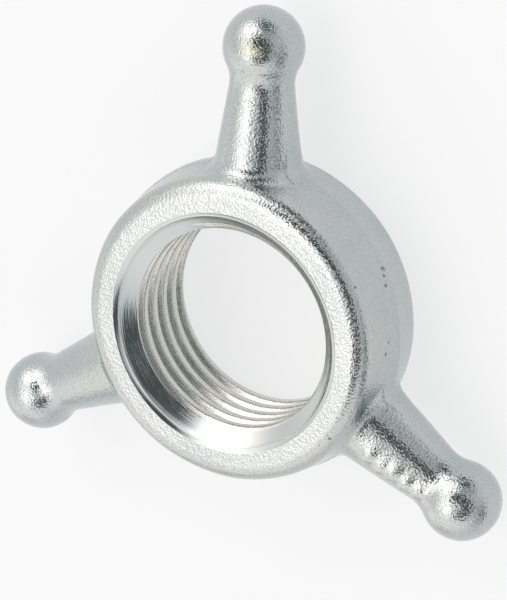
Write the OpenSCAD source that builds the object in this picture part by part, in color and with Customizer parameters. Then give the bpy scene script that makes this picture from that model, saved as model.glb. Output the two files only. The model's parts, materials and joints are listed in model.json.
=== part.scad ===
// Forged three-armed lock nut for a top link spindle. Drop-forged in one piece, with ball-ended
// arms to turn it by hand, then bored, countersunk on both faces and threaded.
// Frame: +Z along the thread, origin on the thread's axis in the parting plane, first arm along +Y.

/* [Thread] */
// Nominal diameter of the metric thread
thread_d = 36; // [24:1:45]
// Pitch of the thread
thread_pitch = 3; // [1:0.25:4]
// Radial width of the countersink at each mouth
sink_width = 3.2; // [1:0.1:5]
// Included angle of the countersink
sink_angle = 110; // [60:1:120]
// Radius of the turned edge between countersink and face
sink_edge_r = 0.6; // [0.1:0.1:1.2]

/* [Ring] */
// Radial thickness from the bore to the widest line of the ring
ring_wall = 9.4; // [8:0.1:14]
// Width of the ring from face to face
ring_width = 19.2; // [16:0.1:28]
// Forging draft of the outer wall, each side of the parting plane
draft = 8.5; // [1:0.5:12]
// Radius of the shoulder between wall and face
shoulder_r = 2.9; // [0.5:0.1:3.5]

/* [Arms] */
// Number of arms
arm_count = 3; // [2:1:4]
// Diameter of an arm where it meets the ring
arm_root_d = 13.5; // [10:0.1:15]
// Diameter that an arm's taper would have at the centre of its ball
arm_tip_d = 8.4; // [6:0.1:9.5]
// Distance from the ring's widest line to the centre of a ball
arm_len = 18; // [14:0.1:30]
// Diameter of the ball at the end of an arm
ball_d = 12.7; // [11.5:0.1:18]
// Radius of the blend between arm and ring
root_r = 1.5; // [1:0.1:4]
// Radius of the blend between arm and ball
neck_r = 2.5; // [0.5:0.1:4]

/* [Hidden] */
$fn = 96;
// Smallest diameter of an ISO metric internal thread: nominal less 5/4 of the triangle's height
bore_r = thread_d / 2 - 5 / 8 * sqrt(3) / 2 * thread_pitch;
half_w = ring_width / 2;
ring_r = bore_r + ring_wall;
ball_y = ring_r + arm_len;
// How deep a blend's foot lies under the ring's wall, and how far round the blend turns
foot_depth = 0.5;
foot_turn = 55;
// How far a cut runs past the surface that it opens
over = 1;
// How far each arc is set into the line or arc that it runs into, so that the two cross
weld = 0.002;

function ray(a) = [cos(a), sin(a)];
// How far along unit direction d from point v the circle of radius r about the origin is met
function meet(v, d, r, side) = -v * d + side * sqrt(pow(v * d, 2) - v * v + r * r);

// Half of the ring's section, above the parting plane, as radius and height
module ring_half() {
    wall_foot = [ring_r, 0];
    wall_up = [-sin(draft), cos(draft)];
    wall_out = ray(draft);
    rise = (half_w - shoulder_r + shoulder_r * wall_out[1]) / wall_up[1];
    centre = wall_foot + rise * wall_up - shoulder_r * wall_out;
    polygon([[0, 0], wall_foot, centre + (shoulder_r - weld) * wall_out, [centre[0], half_w], [0, half_w]]);
    translate(centre) circle(shoulder_r);
}

module ring() {
    rotate_extrude() {
        ring_half();
        mirror([0, 1]) ring_half();
    }
}

// Half of an arm's section along its axis: foot, blend, taper, neck blend and ball
module arm_half() {
    taper = atan((arm_root_d - arm_tip_d) / 2 / arm_len);
    out = ray(taper);
    up = [-sin(taper), cos(taper)];
    start = [arm_root_d / 2, ring_r];
    ball = [0, ball_y];
    ball_r = ball_d / 2;

    // Blend into the ring: its centre keeps root_r off the taper, its foot lies under the wall
    foot_way = root_r * (out * cos(foot_turn) + up * sin(foot_turn));
    root_line = start + root_r * out;
    root_c = root_line + up * meet(root_line - foot_way, up, ring_r - foot_depth, 1);
    foot_r = (root_c - foot_way)[0];

    // Blend into the ball: its centre keeps neck_r off both the taper and the ball
    neck_line = start + neck_r * out;
    neck_c = neck_line + up * meet(neck_line - ball, up, ball_r + neck_r - weld, -1);

    difference() {
        polygon([[0, bore_r], [foot_r, bore_r], [foot_r, root_c[1]], root_c - (root_r - weld) * out,
                 neck_c - (neck_r - weld) * out, neck_c, ball]);
        translate(root_c) circle(root_r);
        translate(neck_c) circle(neck_r);
    }
    intersection() {
        translate(ball) circle(ball_r);
        translate(ball - [0, ball_d]) square(2 * ball_d);
    }
}

module arm() {
    rotate([-90, 0, 0]) rotate_extrude() arm_half();
}

// Half of what is turned away: bore, countersink and its rounded outer edge
module bore_half() {
    lean = 90 - sink_angle / 2;
    corner = [bore_r + sink_width, half_w];
    // The edge's arc is tangent to the cone and to the face
    edge_c = corner + sink_edge_r * [tan(lean / 2), -1];
    difference() {
        polygon([[0, 0], [bore_r, 0], [bore_r, half_w - sink_width * tan(lean)],
                 edge_c + (sink_edge_r - weld) * ray(90 + lean), edge_c, [edge_c[0], half_w + over], [0, half_w + over]]);
        translate(edge_c) circle(sink_edge_r);
    }
}

module bore() {
    rotate_extrude() {
        bore_half();
        mirror([0, 1]) bore_half();
    }
}

module nut() {
    color("Silver") difference() {
        union() {
            ring();
            for (i = [0 : arm_count - 1]) rotate(i * 360 / arm_count) arm();
        }
        bore();
    }
}

nut();
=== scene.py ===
"""A forged three-armed lock nut for a top link, dressed over its frame. Metres, Z along its thread."""
import json
import math

import bmesh
import bpy
import numpy as np
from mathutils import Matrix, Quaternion, Vector


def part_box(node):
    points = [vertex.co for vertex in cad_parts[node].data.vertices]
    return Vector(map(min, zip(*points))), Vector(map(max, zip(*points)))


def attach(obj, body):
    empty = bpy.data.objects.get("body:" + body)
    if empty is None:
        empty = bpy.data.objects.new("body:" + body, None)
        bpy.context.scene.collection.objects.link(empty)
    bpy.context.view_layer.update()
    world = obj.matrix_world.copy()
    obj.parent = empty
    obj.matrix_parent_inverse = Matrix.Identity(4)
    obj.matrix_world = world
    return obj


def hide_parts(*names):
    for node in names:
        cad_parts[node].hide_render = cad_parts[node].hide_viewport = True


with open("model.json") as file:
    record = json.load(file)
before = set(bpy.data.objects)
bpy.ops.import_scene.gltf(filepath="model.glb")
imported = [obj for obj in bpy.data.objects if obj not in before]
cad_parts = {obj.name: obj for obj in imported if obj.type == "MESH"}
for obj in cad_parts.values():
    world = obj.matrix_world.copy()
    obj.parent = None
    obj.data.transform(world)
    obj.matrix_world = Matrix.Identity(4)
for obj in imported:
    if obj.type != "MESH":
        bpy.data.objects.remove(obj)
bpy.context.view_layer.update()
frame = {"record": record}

# ------------------------------------------------------------------ the camera
# It looks down on the nut as it lies, and is rolled so that the first arm points up the picture.
AIM = Vector((0.0003, 0.0027, 0.0))
CAMERA_AZIMUTH = math.radians(40.43)
CAMERA_ELEVATION = math.radians(55.98)
CAMERA_ROLL = math.radians(-122.43)
CAMERA_DISTANCE = 0.432
LENS = 165.8


def direction(azimuth, elevation):
    """The unit vector at an azimuth from +X and an elevation above the floor, in radians."""
    flat = math.cos(elevation)
    return Vector((flat * math.cos(azimuth), flat * math.sin(azimuth), math.sin(elevation)))


camera = bpy.data.objects.new("camera", bpy.data.cameras.new("camera"))
camera.data.lens = LENS
camera.location = AIM + CAMERA_DISTANCE * direction(CAMERA_AZIMUTH, CAMERA_ELEVATION)
level = (AIM - camera.location).to_track_quat("-Z", "Y")
camera.rotation_mode = "QUATERNION"
camera.rotation_quaternion = level @ Quaternion((0, 0, 1), CAMERA_ROLL)
bpy.context.collection.objects.link(camera)
bpy.context.scene.camera = camera

# ----------------------------------------------------------------- the forging
# Ring, arms and balls are hammered in one heat between two dies that meet in the plane of the arms.
# The trimmed flash leaves a low line round that plane, and shot blasting leaves a fine even grain.
MM = 0.001
THREAD_MOUNT = next(mount for mount in frame["record"]["mounts"] if mount["name"] == "thread")
BORE_R = THREAD_MOUNT["dims"]["r_mm"]
HALF_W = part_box("nut")[1][2] / MM
RING_R = BORE_R + 9.4
DRAFT = math.radians(8.5)
SHOULDER_R = 2.9
ARM_ANGLES = [math.radians(90 + 120 * i) for i in range(3)]
ARM_START = 20.0
ARM_ROOT_R = 6.75
ARM_TIP_R = 4.2
ARM_LEN = 18.0
BALL_R = 6.35
BALL_AT = RING_R + ARM_LEN
ROOT_BLEND = 1.5
NECK_BLEND = 5.5
TAPER = math.atan((ARM_ROOT_R - ARM_TIP_R) / ARM_LEN)
# The land that the trimmed flash leaves round the parting plane. Its rise, half its width and its fillet are
# given for the ring and for the arms. Near an arm's root, within the given reach, rise and fillet are larger.
# The land follows the forging's own fall from the plane by the given share, so 1 would lie flush.
FLASH_RISE = 0.01
FLASH_ROOT_RISE = 0.09
FLASH_ARM_RISE = -0.1
FLASH_HALF_W = 2.1
FLASH_ARM_HALF_W = 1.6
FLASH_FILLET = 0.14
FLASH_ROOT_FILLET = 0.38
FLASH_ARM_FILLET = 0.05
FLASH_ROOT_REACH = math.radians(25)
FLASH_FOLLOWS = 0.94
FLASH_ARM_FOLLOWS = 0.98
# On the ring its width swings, four times round; then the radii over which it turns into the arms' land,
# and over which that sinks away before the ball
FLASH_SWING = 0.8
FLASH_SWING_TURN = math.radians(198)
FLASH_NARROWS = (RING_R + 0.7, RING_R + 6.0)
FLASH_SINKS = (BALL_AT - 8.5, BALL_AT - 5.0)
# Die marks: low pips along the front of one arm, each given as how far out from the ring, how far to the
# side and how high. All fall off with the same spread along the arm and across it.
PIP_ARM = 2
PIPS = [(3.2, -1.5, 0.6), (5.6, -1.9, 0.8), (7.7, -1.4, 0.95), (10.1, -1.7, 0.9), (12.3, -1.4, 0.75)]
PIP_SPREAD = 0.66
PIP_WIDTH = 1.15
# How far the forged surface wanders from true
WANDER = 0.09
WANDER_LENGTHS = (9.0, 17.0)
WANDER_WAVES = 9
SEED = 7
# Spacing of the mesh, and across the flash line, and how often its points are pulled onto the surface
MESH_STEP = 0.375
FLASH_STEP = 0.26
PULLS = 4


def ring_gap(radius, height):
    """Signed distance to the ring without its bore, from radius and height."""
    out = np.array([math.cos(DRAFT), math.sin(DRAFT)])
    up = np.array([-math.sin(DRAFT), math.cos(DRAFT)])
    rise = (HALF_W - SHOULDER_R + SHOULDER_R * out[1]) / up[1]
    centre = np.array([RING_R, 0]) + rise * up - SHOULDER_R * out
    height = np.abs(height)
    wall = (radius - RING_R) * out[0] + height * out[1]
    off_r = radius - centre[0]
    off_h = height - centre[1]
    shoulder = (off_r * up[0] + off_h * up[1] > 0) & (off_r > 0)
    return np.where(shoulder, np.hypot(off_r, off_h) - SHOULDER_R, np.maximum(wall, height - HALF_W))


def arm_gap(radius, along):
    """Signed distance to an arm and its ball, from the radius off its axis and the way along it."""
    out = np.array([math.cos(TAPER), math.sin(TAPER)])
    up = np.array([-math.sin(TAPER), math.cos(TAPER)])
    from_ball = np.array([ARM_ROOT_R, -ARM_LEN]) + NECK_BLEND * out
    ahead = from_ball @ up
    slide = -ahead - math.sqrt(ahead**2 - from_ball @ from_ball + (BALL_R + NECK_BLEND) ** 2)
    neck = from_ball + slide * up
    to_ball = -neck / np.linalg.norm(neck)
    along = along - BALL_AT
    taper = (radius - ARM_ROOT_R) * out[0] + (along + ARM_LEN) * out[1]
    off_r = radius - neck[0]
    off_a = along - neck[1]
    beyond = off_r * up[0] + off_a * up[1] > 0
    in_neck = beyond & (to_ball[0] * off_a - to_ball[1] * off_r > 0)
    ball = np.hypot(radius, along) - BALL_R
    return np.where(in_neck, NECK_BLEND - np.hypot(off_r, off_a), np.where(beyond, ball, taper))


def blended(a, b, reach):
    """The union of two distances, with a fillet of the given radius where they meet."""
    near = np.hypot(np.maximum(reach - a, 0), np.maximum(reach - b, 0))
    return np.maximum(reach, np.minimum(a, b)) - near


def wander(points):
    """A slow unevenness from 0 to 1, the same on each run."""
    rng = np.random.default_rng(SEED)
    total = np.zeros(points.shape[:-1])
    for _ in range(WANDER_WAVES):
        way = rng.normal(size=3)
        way *= 2 * math.pi / rng.uniform(*WANDER_LENGTHS) / np.linalg.norm(way)
        total += np.sin(points @ way + rng.uniform(0, 2 * math.pi))
    return 0.5 + 0.5 * np.tanh(total / math.sqrt(WANDER_WAVES))


def die_gap(x, y, z):
    """Signed distance in millimetres to what the dies alone would make."""
    gap = ring_gap(np.hypot(x, y), z)
    for number, angle in enumerate(ARM_ANGLES):
        along = x * math.cos(angle) + y * math.sin(angle)
        side = y * math.cos(angle) - x * math.sin(angle)
        arm = arm_gap(np.hypot(side, z), along)
        if number == PIP_ARM:
            for out, across, rise in PIPS:
                top = math.sqrt((ARM_ROOT_R - out * math.tan(TAPER)) ** 2 - across**2)
                off = (along - RING_R - out) ** 2 + (z - top) ** 2
                off += ((side - across) * PIP_SPREAD / PIP_WIDTH) ** 2
                arm = arm - rise * np.exp(-off / (2 * PIP_SPREAD**2))
        gap = blended(gap, np.maximum(arm, ARM_START - along), ROOT_BLEND)
    return gap


def forging_gap(points):
    """Signed distance in millimetres to the whole forging, before it is bored."""
    x, y, z = np.moveaxis(points, -1, 0)
    gap = die_gap(x, y, z)
    reach = np.hypot(x, y)
    turn = np.arctan2(y, x)
    from_arm = np.arccos(np.cos(3 * (turn - ARM_ANGLES[0]))) / 3
    near_arm = np.exp(-((from_arm / FLASH_ROOT_REACH) ** 2))
    rise = FLASH_RISE + FLASH_ROOT_RISE * near_arm
    rise += (FLASH_ARM_RISE - rise) * np.interp(reach, FLASH_NARROWS, (0, 1))
    half_w = FLASH_HALF_W + FLASH_SWING * np.sin(4 * turn - FLASH_SWING_TURN)
    half_w += (FLASH_ARM_HALF_W - half_w) * np.interp(reach, FLASH_NARROWS, (0, 1))
    sink = np.interp(reach, FLASH_SINKS, (0, rise.max() + 2 * FLASH_FILLET))
    follows = np.interp(reach, FLASH_NARROWS, (FLASH_FOLLOWS, FLASH_ARM_FOLLOWS))
    land = np.maximum(die_gap(x, y, follows * z) - rise + sink, np.abs(z) - half_w)
    fillet = FLASH_FILLET + (FLASH_ROOT_FILLET - FLASH_FILLET) * near_arm
    fillet += (FLASH_ARM_FILLET - fillet) * np.interp(reach, FLASH_NARROWS, (0, 1))
    gap = blended(gap, land, fillet) + WANDER * wander(points)
    return np.maximum(gap, np.abs(z) - HALF_W)


def slopes(points, step=0.01):
    """The gradient of forging_gap at each point."""
    ways = np.eye(3) * step
    return np.stack([forging_gap(points + w) - forging_gap(points - w) for w in ways], -1) / (2 * step)


def skin_over(axes):
    """Quads over the zero surface of forging_gap: one vertex in each grid cell that it crosses."""
    value = forging_gap(np.stack(np.meshgrid(*axes, indexing="ij"), -1))
    inside = value < 0
    cells = np.array(value.shape) - 1
    corners = [np.array([i, j, k]) for i in (0, 1) for j in (0, 1) for k in (0, 1)]
    count = np.zeros(cells, int)
    for corner in corners:
        count += inside[tuple(slice(c, c + n) for c, n in zip(corner, cells))]
    crossed = (count > 0) & (count < len(corners))
    where = np.argwhere(crossed)
    number = np.full(cells, -1)
    number[crossed] = np.arange(len(where))

    place = np.stack([line[i] for line, i in zip(axes, where.T)], -1)
    size = np.stack([line[i + 1] - line[i] for line, i in zip(axes, where.T)], -1)
    total = np.zeros((len(where), 3))
    hits = np.zeros(len(where))
    for low in corners:
        for axis in np.flatnonzero(low == 0):
            high = low + np.eye(3, dtype=int)[axis]
            a = value[tuple((where + low).T)]
            b = value[tuple((where + high).T)]
            cut = (a < 0) != (b < 0)
            share = np.where(cut, a / np.where(cut, a - b, 1), 0)
            point = place + size * (low + share[:, None] * (high - low))
            total += np.where(cut[:, None], point, 0)
            hits += cut
    points = total / hits[:, None]

    quads = []
    for axis in range(3):
        before, after = (np.roll(np.eye(3, dtype=int)[axis], shift) for shift in (1, 2))
        low = np.take(inside, range(cells[axis]), axis)
        high = np.take(inside, range(1, cells[axis] + 1), axis)
        at = np.argwhere(low != high)
        round_it = ((1, 1), (0, 1), (0, 0), (1, 0))
        quad = np.stack([number[tuple((at - a * before - b * after).T)] for a, b in round_it], -1)
        outward = low[tuple(at.T)]
        quads.append(np.where(outward[:, None], quad, quad[:, ::-1]))
    return points, np.concatenate(quads)


def grid_line(low, high, step):
    """Evenly spaced values from low to high, no further apart than step."""
    return np.linspace(low, high, math.ceil((high - low) / step) + 1)


margin = 3 * MESH_STEP
lows, highs = ([c / MM for c in corner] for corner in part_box("nut"))
flash_band = FLASH_HALF_W + FLASH_SWING + FLASH_ROOT_FILLET
axes = [grid_line(lows[i] - margin, highs[i] + margin, MESH_STEP) for i in range(2)]
axes.append(np.concatenate([
    grid_line(-HALF_W - margin, -flash_band, MESH_STEP)[:-1],
    grid_line(-flash_band, flash_band, FLASH_STEP),
    grid_line(flash_band, HALF_W + margin, MESH_STEP)[1:],
]))
points, quads = skin_over(axes)
for _ in range(PULLS):
    slope = slopes(points)
    # Where rounds meet the slope is shallow, so its square is held up to keep the pull short
    steepness = np.maximum((slope**2).sum(-1, keepdims=True), 0.25)
    points = points - forging_gap(points)[:, None] * slope / steepness


def add_mesh(name, points, faces):
    """A new object with the given points, in millimetres, and faces."""
    mesh = bpy.data.meshes.new(name)
    mesh.from_pydata(np.multiply(points, MM).tolist(), [], faces)
    mesh.validate()
    piece = bpy.data.objects.new(name, mesh)
    bpy.context.collection.objects.link(piece)
    return piece


nut_body = add_mesh("nut_body", points, quads.tolist())


def add_node(tree, kind, inputs=None, **settings):
    """A node with its settings, each input a value or the output of another node."""
    node = tree.nodes.new(kind)
    for key, value in settings.items():
        setattr(node, key, value)
    for key, value in (inputs or {}).items():
        socket = node.inputs[key]
        if isinstance(value, bpy.types.NodeSocket):
            tree.links.new(value, socket)
        else:
            socket.default_value = value
    return node


def calc(tree, operation, *values, clamp=False):
    """The result of a sum on values or sockets."""
    sums = add_node(tree, "ShaderNodeMath", dict(enumerate(values)), operation=operation, use_clamp=clamp)
    return sums.outputs[0]


def remap(tree, value, start, end, low=0.0, high=1.0):
    """The result of taking a value from start to end to one from low to high, and no further."""
    return add_node(tree, "ShaderNodeMapRange", {
        "Value": value, "From Min": start, "From Max": end, "To Min": low, "To Max": high}).outputs[0]


def mix(tree, share, first, second):
    """The colour that has the given share of the second, and the rest of the first."""
    return add_node(tree, "ShaderNodeMix", {0: share, 6: first, 7: second}, data_type="RGBA").outputs[2]


def noise(tree, place, scale, detail, roughness=0.5, dimensions="3D"):
    """The value of a cloudy noise."""
    return add_node(tree, "ShaderNodeTexNoise", {
        "Vector": place, "Scale": scale, "Detail": detail, "Roughness": roughness,
    }, noise_dimensions=dimensions).outputs["Fac"]


def distance(tree, place, point):
    """How far a place is from a point, in metres."""
    return add_node(tree, "ShaderNodeVectorMath", {0: place, 1: point}, operation="DISTANCE").outputs["Value"]


def new_tree(name, inputs, outputs):
    """An empty shader group with named inputs and outputs, each with its type; and its inputs."""
    tree = bpy.data.node_groups.new(name, "ShaderNodeTree")
    for way, sockets in (("INPUT", inputs), ("OUTPUT", outputs)):
        for label, kind in sockets.items():
            tree.interface.new_socket(label, in_out=way, socket_type="NodeSocket" + kind)
    return tree, add_node(tree, "NodeGroupInput").outputs


def zinc_tone():
    """Bright zinc: a cool grey that drifts a little between blue and straw."""
    sockets = {"Position": "Vector", "Cool": "Color", "Straw": "Color", "Drift Size": "Float"}
    tree, given = new_tree("zinc_tone", sockets, {"Color": "Color"})
    frequency = calc(tree, "DIVIDE", 1.0, given["Drift Size"])
    drift = noise(tree, given["Position"], frequency, 3.0)
    tone = mix(tree, remap(tree, drift, 0.35, 0.7), given["Cool"], given["Straw"])
    add_node(tree, "NodeGroupOutput", {"Color": tone})
    return tree


def new_zinc(name, cool, straw, drift_size):
    """A material with no shader yet. Also gives its tree, the place on the piece and the zinc's tone."""
    material = bpy.data.materials.new(name)
    material.use_nodes = True
    tree = material.node_tree
    tree.nodes.clear()
    place = add_node(tree, "ShaderNodeTexCoord").outputs["Object"]
    tone = add_node(tree, "ShaderNodeGroup", {
        "Position": place, "Cool": cool, "Straw": straw, "Drift Size": drift_size}, node_tree=ZINC_TONE)
    return material, tree, place, tone.outputs["Color"]


def add_metal(tree, colour, roughness, height, depth):
    """The metal itself, with a relief from 0 to 1 that is the given depth high, in metres."""
    bump = add_node(tree, "ShaderNodeBump", {"Height": height, "Distance": depth, "Strength": 1.0})
    shader = add_node(tree, "ShaderNodeBsdfPrincipled", {
        "Base Color": colour, "Metallic": 1.0, "Roughness": roughness, "Normal": bump.outputs[0]})
    add_node(tree, "ShaderNodeOutputMaterial", {"Surface": shader.outputs[0]})


# A painted reflection on one ball: a dark straw patch standing in for the dark side of the tent, with its
# heart and how far it spreads, in millimetres
PAINTED_REFLECTION_AT = (1.2, 45.2, 6.1)
PAINTED_REFLECTION_REACH = 4.0
# How many of the random pits' cells hold one
PIT_SHARE = 0.04
# The deeper pits: x, y, z and radius, in millimetres
PITS = [
    (22.25, 12.89, 0.44, 0.42),
    (22.75, 12.0, 0.9, 0.25),
    (23.29, 10.62, 1.23, 0.3),
    (25.21, 0.63, 3.77, 0.3),
    (25.22, 2.34, 3.0, 0.22),
    (19.33, -12.9, 9.33, 0.3),
    (19.77, -15.5, 7.49, 0.3),
]
ZINC_TONE = zinc_tone()


def blasted_zinc():
    """Zinc on shot-blasted steel: packed fine dimples, a few dark pits, and a painted dark reflection in straw
    on one ball.
    """
    material, tree, place, tone = new_zinc(
        "blasted_zinc", cool=(0.482, 0.530, 0.529, 1), straw=(0.536, 0.562, 0.552, 1), drift_size=0.012)
    fine = noise(tree, place, scale=3000.0, detail=1.0, roughness=0.4)
    blotch = noise(tree, place, scale=900.0, detail=3.0)

    # The painted reflection of the tent's dark side: strongest at its heart, and broken up by the blotches
    spread = remap(tree, distance(tree, place, [c * MM for c in PAINTED_REFLECTION_AT]), 0.0, PAINTED_REFLECTION_REACH * MM, 1.0, 0.0)
    painted_reflection = calc(tree, "MULTIPLY", calc(tree, "MULTIPLY_ADD", spread, blotch, -0.15), 2.6, clamp=True)
    colour = mix(tree, painted_reflection, tone, (0.44, 0.435, 0.31, 1))

    # Pits: the hearts of a few of a coarse mesh of random cells, then the deeper ones with ragged edges
    cells = add_node(tree, "ShaderNodeTexVoronoi", {"Vector": place, "Scale": 330.0}).outputs
    chance = add_node(tree, "ShaderNodeSeparateColor", {"Color": cells["Color"]}).outputs["Red"]
    heart = calc(tree, "SUBTRACT", calc(tree, "MULTIPLY", blotch, 0.16), cells["Distance"])
    pit = calc(tree, "MULTIPLY", heart, 25.0, clamp=True)
    pit = calc(tree, "MULTIPLY", pit, calc(tree, "LESS_THAN", chance, PIT_SHARE))
    for x, y, z, radius in PITS:
        edge = calc(tree, "MULTIPLY", fine, 2.2 * radius * MM)
        inside = calc(tree, "SUBTRACT", edge, distance(tree, place, (x * MM, y * MM, z * MM)))
        pit = calc(tree, "MAXIMUM", pit, calc(tree, "MULTIPLY", inside, 6000.0, clamp=True))
    colour = mix(tree, pit, colour, (0.2, 0.21, 0.21, 1))

    # The blasted grain, with painted shade that darkens its hollows a little
    colour = mix(tree, remap(tree, fine, 0.35, 0.6, 0.3, 0.0), colour, (0.29, 0.32, 0.32, 1))
    dimples = add_node(tree, "ShaderNodeTexVoronoi", {"Vector": place, "Scale": 2500.0}, feature="SMOOTH_F1")
    grain = calc(tree, "MULTIPLY_ADD", dimples.outputs["Distance"], 0.45, fine)
    add_metal(tree, colour, 0.09, calc(tree, "MULTIPLY_ADD", pit, -1.5, grain), 0.000076)
    return material


nut_body.data.materials.append(blasted_zinc())

# -------------------------------------------------------------- the countersinks
# Both mouths of the bore are turned in the forging's own steel, each to a smooth 110 degree cone with a small
# round at its outer edge. They lead the spindle in, and are zinc plated with the rest.
SINK_WIDTH = 3.2
SINK_LEAN = math.radians(35)
SINK_EDGE_R = 0.6
# Points round a turned solid, and how far it runs past the face
ROUND_STEPS = 256
CLEAR = 2.0


def lathe(name, profile):
    """A closed solid turned about Z from a profile of radius and height that starts and ends on the axis."""
    turns = np.arange(ROUND_STEPS) * 2 * math.pi / ROUND_STEPS
    rings = [[(r * math.cos(t), r * math.sin(t), h) for t in turns] for r, h in profile[1:-1]]
    points = [(0, 0, profile[0][1])] + [p for ring in rings for p in ring] + [(0, 0, profile[-1][1])]
    last = len(points) - 1
    faces = []
    for i in range(ROUND_STEPS):
        j = (i + 1) % ROUND_STEPS
        faces.append([0, 1 + j, 1 + i])
        for k in range(len(rings) - 1):
            low = 1 + k * ROUND_STEPS
            faces.append([low + i, low + j, low + ROUND_STEPS + j, low + ROUND_STEPS + i])
        top = 1 + (len(rings) - 1) * ROUND_STEPS
        faces.append([top + i, top + j, last])
    return add_mesh(name, points, faces)


def round_z():
    """Where a place lies round Z, for marks drawn out by a tool: its turn in radians, radius and height."""
    outputs = {"Turn": "Float", "Radius": "Float", "Height": "Float"}
    tree, given = new_tree("round_z", {"Position": "Vector"}, outputs)
    parts = add_node(tree, "ShaderNodeSeparateXYZ", {0: given["Position"]}).outputs
    turn = calc(tree, "ARCTAN2", parts["Y"], parts["X"])
    flat = add_node(tree, "ShaderNodeCombineXYZ", {"X": parts["X"], "Y": parts["Y"]}).outputs[0]
    radius = distance(tree, flat, (0, 0, 0))
    add_node(tree, "NodeGroupOutput", {"Turn": turn, "Radius": radius, "Height": parts["Z"]})
    return tree


ROUND_Z = round_z()


def turned_zinc():
    """Zinc on the turned cones: smooth, with fine lines round the axis."""
    material, tree, place, tone = new_zinc(
        "turned_zinc", cool=(0.53, 0.575, 0.58, 1), straw=(0.585, 0.61, 0.605, 1), drift_size=0.015)
    around = add_node(tree, "ShaderNodeGroup", {"Position": place}, node_tree=ROUND_Z).outputs
    drawn = add_node(tree, "ShaderNodeCombineXYZ", {
        "X": calc(tree, "MULTIPLY", around["Turn"], 0.0006), "Y": around["Radius"]}).outputs[0]
    lines = noise(tree, drawn, scale=5000.0, detail=3.0, roughness=0.6, dimensions="2D")
    add_metal(tree, tone, 0.1, lines, 0.00002)
    return material


# The tool leaves a fine ridge round the cone: how far in from the edge, its half width and height
RIDGE_AT = 0.75
RIDGE_W = 0.1
RIDGE_RISE = 0.045
# The cone's own rings, out from the bore: it runs inwards past the thread's mouth
CONE_RINGS = (-1.0, 0.3, 1.0, 1.7)
# How far the edge's arc is set above the face, so that the two cuts never share a plane
LIFT = 0.002
edge_r = BORE_R + SINK_WIDTH + SINK_EDGE_R * math.tan(SINK_LEAN / 2)
edge_h = HALF_W - SINK_EDGE_R


def on_cone(out, rise=0.0):
    """A point of the cone's profile, from how far it is out from the bore."""
    return BORE_R + out, HALF_W - (SINK_WIDTH - out) * math.tan(SINK_LEAN) + rise


sink_profile = [(0, on_cone(-BORE_R)[1])]
sink_profile += [on_cone(out) for out in CONE_RINGS]
ridge_out = SINK_WIDTH - RIDGE_AT
sink_profile += [on_cone(ridge_out - RIDGE_W), on_cone(ridge_out, RIDGE_RISE)]
sink_profile += [on_cone(ridge_out + RIDGE_W)]
for angle in np.linspace(math.radians(90) + SINK_LEAN, math.radians(90), 7):
    r = edge_r + SINK_EDGE_R * math.cos(angle)
    sink_profile.append((r, edge_h + SINK_EDGE_R * math.sin(angle) + LIFT))
sink_profile += [(edge_r, HALF_W + CLEAR), (0, HALF_W + CLEAR)]
front_sink = lathe("front_sink", sink_profile)
back_sink = lathe("back_sink", [(r, -h) for r, h in reversed(sink_profile)])
turned = turned_zinc()
for sink in (front_sink, back_sink):
    sink.data.materials.append(turned)

# -------------------------------------------------------------------- the thread
# A coarse right-hand metric thread, tapped through the steel from face to face, so the groove runs out at both
# cones. The tap tears the flanks a little, and the zinc in there is duller.
PITCH = 3.0
FLANK = math.radians(30)
GROOVE_DEPTH = 1.15
GROOVE_ROOT = PITCH / 8
GROOVE_MOUTH = GROOVE_ROOT + 2 * GROOVE_DEPTH * math.tan(FLANK)
CREST_R = 0.55
# How far the groove's solid is sunk into the bore's, and how far both run past the faces
SUNK = 0.3
PAST = 1.0
STEPS_A_TURN = 150


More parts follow.
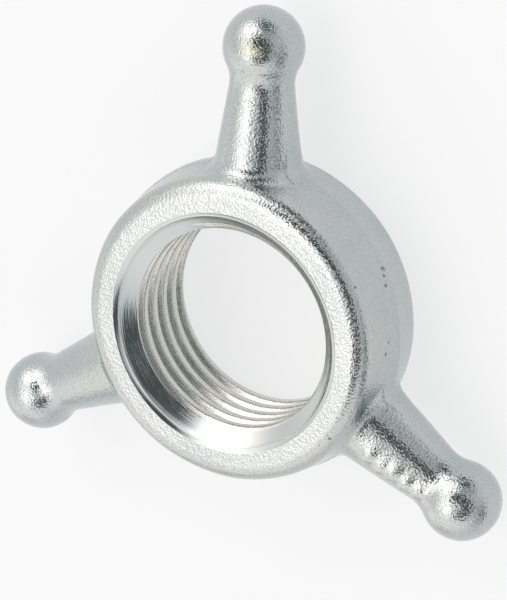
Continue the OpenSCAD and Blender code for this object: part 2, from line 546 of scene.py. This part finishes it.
def groove_tree():
    """A groove's solid swept along a helix about Z, joined to the plain bore's."""
    tree = bpy.data.node_groups.new("thread_groove", "GeometryNodeTree")
    tree.interface.new_socket("Geometry", in_out="OUTPUT", socket_type="NodeSocketGeometry")
    for name in ("Bore Radius", "Pitch", "Turns", "Depth", "Mouth", "Root", "Crest Radius", "Sunk"):
        tree.interface.new_socket(name, in_out="INPUT", socket_type="NodeSocketFloat")
    tree.interface.new_socket("Steps", in_out="INPUT", socket_type="NodeSocketInt")
    tree.interface.new_socket("Material", in_out="INPUT", socket_type="NodeSocketMaterial")
    given = add_node(tree, "NodeGroupInput").outputs
    height = calc(tree, "MULTIPLY", given["Pitch"], given["Turns"])
    helix = add_node(tree, "GeometryNodeCurveSpiral", {
        "Resolution": given["Steps"], "Rotations": given["Turns"], "Start Radius": given["Bore Radius"],
        "End Radius": given["Bore Radius"], "Height": height, "Reverse": True})
    drop = add_node(tree, "ShaderNodeCombineXYZ", {"Z": calc(tree, "MULTIPLY", height, -0.5)})
    centred = add_node(tree, "GeometryNodeTransform", {
        "Geometry": helix.outputs[0], "Translation": drop.outputs[0]})
    upright = add_node(tree, "GeometryNodeSetCurveNormal", {"Curve": centred.outputs[0]}, mode="Z_UP")
    half_mouth = calc(tree, "MULTIPLY", given["Mouth"], 0.5)
    half_root = calc(tree, "MULTIPLY", given["Root"], 0.5)
    lean = calc(tree, "ARCTAN2", calc(tree, "SUBTRACT", half_mouth, half_root), given["Depth"])
    sweep_angle = calc(tree, "SUBTRACT", math.radians(90), lean)
    half_sweep = calc(tree, "MULTIPLY", sweep_angle, 0.5)
    back = calc(tree, "MULTIPLY", calc(tree, "TANGENT", half_sweep), given["Crest Radius"])
    crest = calc(tree, "ADD", half_mouth, back)

    def corner(x, y):
        """A point in the plane of the groove's section."""
        return add_node(tree, "ShaderNodeCombineXYZ", {"X": x, "Y": y}).outputs[0]

    # The section's points, then one closed outline through them: X is depth, Y is along the bore
    outline = add_node(tree, "GeometryNodeJoinGeometry")
    for side in (1, -1):
        edge = calc(tree, "MULTIPLY", crest, side)
        begin = math.radians(180) if side > 0 else calc(tree, "ADD", lean, math.radians(90))
        bend = add_node(tree, "GeometryNodeCurveArc", {
            "Resolution": 5, "Radius": given["Crest Radius"],
            "Start Angle": begin, "Sweep Angle": sweep_angle})
        placed = add_node(tree, "GeometryNodeTransform", {
            "Geometry": bend.outputs[0], "Translation": corner(given["Crest Radius"], edge)})
        straight = add_node(tree, "GeometryNodeCurvePrimitiveLine", {
            "Start": corner(calc(tree, "MULTIPLY", given["Sunk"], -1), edge),
            "End": corner(given["Depth"], calc(tree, "MULTIPLY", half_root, side))})
        tree.links.new(placed.outputs[0], outline.inputs[0])
        tree.links.new(straight.outputs[0], outline.inputs[0])
    dots = add_node(tree, "GeometryNodeCurveToPoints", {"Curve": outline.outputs[0]}, mode="EVALUATED")
    spot = add_node(tree, "GeometryNodeInputPosition").outputs[0]
    at = add_node(tree, "ShaderNodeSeparateXYZ", {0: spot}).outputs
    order = calc(tree, "ARCTAN2", at["Y"], calc(tree, "MULTIPLY_ADD", given["Sunk"], 0.5, at["X"]))
    section = add_node(tree, "GeometryNodePointsToCurves", {"Points": dots.outputs[0], "Weight": order})
    seated = add_node(tree, "GeometryNodeSetSplineCyclic", {"Geometry": section.outputs[0], "Cyclic": True})
    swept = add_node(tree, "GeometryNodeCurveToMesh", {
        "Curve": upright.outputs[0], "Profile Curve": seated.outputs[0], "Fill Caps": True})
    length = calc(tree, "ADD", height, given["Pitch"])
    plug = add_node(tree, "GeometryNodeMeshCylinder", {
        "Vertices": ROUND_STEPS, "Radius": given["Bore Radius"], "Depth": length})
    union = add_node(tree, "GeometryNodeMeshBoolean", operation="UNION", solver="MANIFOLD")
    tree.links.new(swept.outputs[0], union.inputs["Mesh 2"])
    tree.links.new(plug.outputs["Mesh"], union.inputs["Mesh 2"])
    whole = add_node(tree, "GeometryNodeRealizeInstances", {"Geometry": union.outputs[0]})
    finished = add_node(tree, "GeometryNodeSetMaterial", {
        "Geometry": whole.outputs[0], "Material": given["Material"]})
    add_node(tree, "NodeGroupOutput", {"Geometry": finished.outputs[0]})
    return tree


def made_plain(piece):
    """Turn what a piece's modifiers give into its plain mesh."""
    depsgraph = bpy.context.evaluated_depsgraph_get()
    mesh = bpy.data.meshes.new_from_object(piece.evaluated_get(depsgraph))
    piece.modifiers.clear()
    piece.data = mesh


def cut_zinc():
    """Zinc in the cut thread: duller, with torn streaks along the cut and darker flecks."""
    material, tree, place, tone = new_zinc(
        "cut_zinc", cool=(0.67, 0.685, 0.66, 1), straw=(0.72, 0.72, 0.675, 1), drift_size=0.006)
    flecks = noise(tree, place, scale=3400.0, detail=2.0, roughness=0.7)
    colour = mix(tree, remap(tree, flecks, 0.56, 0.72, 0.0, 0.5), tone, (0.30, 0.29, 0.24, 1))
    roughness = remap(tree, flecks, 0.3, 0.7, 0.2, 0.34)
    # The streaks climb as the thread does, its pitch in every turn
    around = add_node(tree, "ShaderNodeGroup", {"Position": place}, node_tree=ROUND_Z).outputs
    drawn = add_node(tree, "ShaderNodeCombineXYZ", {
        "X": calc(tree, "MULTIPLY", around["Turn"], 0.0009),
        "Y": calc(tree, "MULTIPLY_ADD", around["Turn"], -0.00048, around["Height"]),
        "Z": around["Radius"]}).outputs[0]
    torn = noise(tree, drawn, scale=2600.0, detail=3.0, roughness=0.65)
    add_metal(tree, colour, roughness, calc(tree, "MULTIPLY_ADD", flecks, 0.35, torn), 0.00006)
    return material


thread = bpy.data.objects.new("thread", bpy.data.meshes.new("thread"))
bpy.context.collection.objects.link(thread)
sweep = thread.modifiers.new("groove", "NODES")
sweep.node_group = groove_tree()
groove_sizes = {
    "Bore Radius": BORE_R * MM,
    "Pitch": PITCH * MM,
    "Turns": 2 * (HALF_W + PAST) / PITCH,
    "Depth": GROOVE_DEPTH * MM,
    "Mouth": GROOVE_MOUTH * MM,
    "Root": GROOVE_ROOT * MM,
    "Crest Radius": CREST_R * MM,
    "Sunk": SUNK * MM,
    "Steps": STEPS_A_TURN,
    "Material": cut_zinc(),
}
for item in sweep.node_group.interface.items_tree:
    if item.in_out == "INPUT":
        sweep[item.identifier] = groove_sizes[item.name]
made_plain(thread)

# ------------------------------------------------------------- boring the forging
# The steel forging is bored, tapped and countersunk in turn: each tool's solid takes its cut out of it, and
# leaves its own finish on the walls that it cuts.

# Edges sharper than this stay sharp, as does every edge between two finishes
CREASE = math.radians(28)
for tool in (thread, front_sink, back_sink):
    cut = nut_body.modifiers.new("cut", "BOOLEAN")
    cut.object = tool
    cut.operation = "DIFFERENCE"
    cut.solver = "MANIFOLD"
    cut.material_mode = "TRANSFER"
    made_plain(nut_body)
    bpy.data.objects.remove(tool)
nut_body.data.shade_smooth()
edges = bmesh.new()
edges.from_mesh(nut_body.data)
for edge in edges.edges:
    one_finish = len({face.material_index for face in edge.link_faces}) == 1
    edge.smooth = one_finish and edge.calc_face_angle(0) < CREASE
edges.to_mesh(nut_body.data)
edges.free()
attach(nut_body, "root")
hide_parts("nut")

# -------------------------------------------------------------------- the studio
# A pale table under a soft tent of light: a bright panel to the left, a bright roof, and a dark side
# where the camera stands.
FLOOR_HALF = 6000.0
# How much of the table's colour is its own white glow, where it is seen directly or in a reflection
FLOOR_WHITE = 0.73
corners = [(-1, -1), (1, -1), (1, 1), (-1, 1)]
floor = add_mesh("floor", [(x * FLOOR_HALF, y * FLOOR_HALF, -HALF_W) for x, y in corners], [(0, 1, 2, 3)])
pale = bpy.data.materials.new("pale_table")
pale.use_nodes = True
table = pale.node_tree
table.nodes.clear()
paper = add_node(table, "ShaderNodeBsdfDiffuse", {"Color": (0.77, 0.8, 0.81, 1)})
white = add_node(table, "ShaderNodeEmission", {"Color": (1, 1, 1, 1), "Strength": 1.0})
rays = add_node(table, "ShaderNodeLightPath").outputs
seen = calc(table, "ADD", rays["Is Camera Ray"], rays["Is Glossy Ray"])
seen = calc(table, "ADD", seen, rays["Is Transmission Ray"])
glow = calc(table, "MULTIPLY", seen, FLOOR_WHITE)
glowing = add_node(table, "ShaderNodeMixShader", {0: glow, 1: paper.outputs[0], 2: white.outputs[0]})
add_node(table, "ShaderNodeOutputMaterial", {"Surface": glowing.outputs[0]})
floor.data.materials.append(pale)

# The tent's own light, and how it slants along X, Y and Z
TENT_LEVEL = 1.22
TENT_SLANT = (0.135, -0.55, -0.48)
# Each patch of the tent: azimuth, elevation, sharpness and how much brighter or darker it is
PATCHES = [
    (115.0, 37.0, 9.0, 2.45),
    (92.0, 57.0, 30.0, -1.70),
    (-115.0, -3.0, 30.0, -1.10),
    (86.1, 11.9, 13.2, -1.10),
    (-83.4, -2.2, 9.2, -0.70),
    (-162.0, 74.5, 13.9, 1.75),
    (-25.0, -10.3, 4.7, -1.50),
]
# The gap in the roof that the camera looks in through, a dark arc: the azimuth and elevation of the arc's
# axis, its radius in degrees, how soft its edges are, its depth, and over which X of the ray it fades in
GAP_AXIS = (9.6, 75.6)
GAP_R = 26.0
GAP_SOFT = 0.058
GAP_DEPTH = -1.9
GAP_ENDS = (-0.2, 0.1)
# The least light, then the colours of the dimmest and the brightest, and how fast one turns into the other
DARKEST = 0.11
DIM_COLOUR = (0.88, 0.96, 1.0, 1)
BRIGHT_COLOUR = (1.04, 0.985, 0.965, 1)
WARMING = 0.8
world = bpy.data.worlds.new("studio")
world.use_nodes = True
bpy.context.scene.world = world
sky = world.node_tree
sky.nodes.clear()
look = add_node(sky, "ShaderNodeTexCoord").outputs["Generated"]


def along(way):
    """How far the ray's direction goes along the given one, from -1 to 1."""
    return add_node(sky, "ShaderNodeVectorMath", {0: look, 1: way}, operation="DOT_PRODUCT").outputs["Value"]


def along_angles(azimuth, elevation):
    """The same for a direction given in degrees."""
    return along(direction(math.radians(azimuth), math.radians(elevation)))


light = calc(sky, "ADD", along(TENT_SLANT), TENT_LEVEL)
for azimuth, elevation, sharpness, strength in PATCHES:
    falloff = calc(sky, "MULTIPLY_ADD", along_angles(azimuth, elevation), sharpness, -sharpness)
    light = calc(sky, "MULTIPLY_ADD", calc(sky, "EXPONENT", falloff), strength, light)
off_arc = calc(sky, "SUBTRACT", along_angles(*GAP_AXIS), math.cos(math.radians(GAP_R)))
off_arc = calc(sky, "DIVIDE", off_arc, GAP_SOFT)
gap = calc(sky, "EXPONENT", calc(sky, "MULTIPLY", calc(sky, "MULTIPLY", off_arc, off_arc), -1.0))
gap = calc(sky, "MULTIPLY", gap, remap(sky, along((1, 0, 0)), *GAP_ENDS))
light = calc(sky, "MAXIMUM", calc(sky, "MULTIPLY_ADD", gap, GAP_DEPTH, light), DARKEST)
colour = mix(sky, calc(sky, "MULTIPLY", light, WARMING, clamp=True), DIM_COLOUR, BRIGHT_COLOUR)
background = add_node(sky, "ShaderNodeBackground", {"Color": colour, "Strength": light})
add_node(sky, "ShaderNodeOutputWorld", {"Surface": background.outputs[0]})

bpy.context.scene.view_settings.view_transform = "Standard"
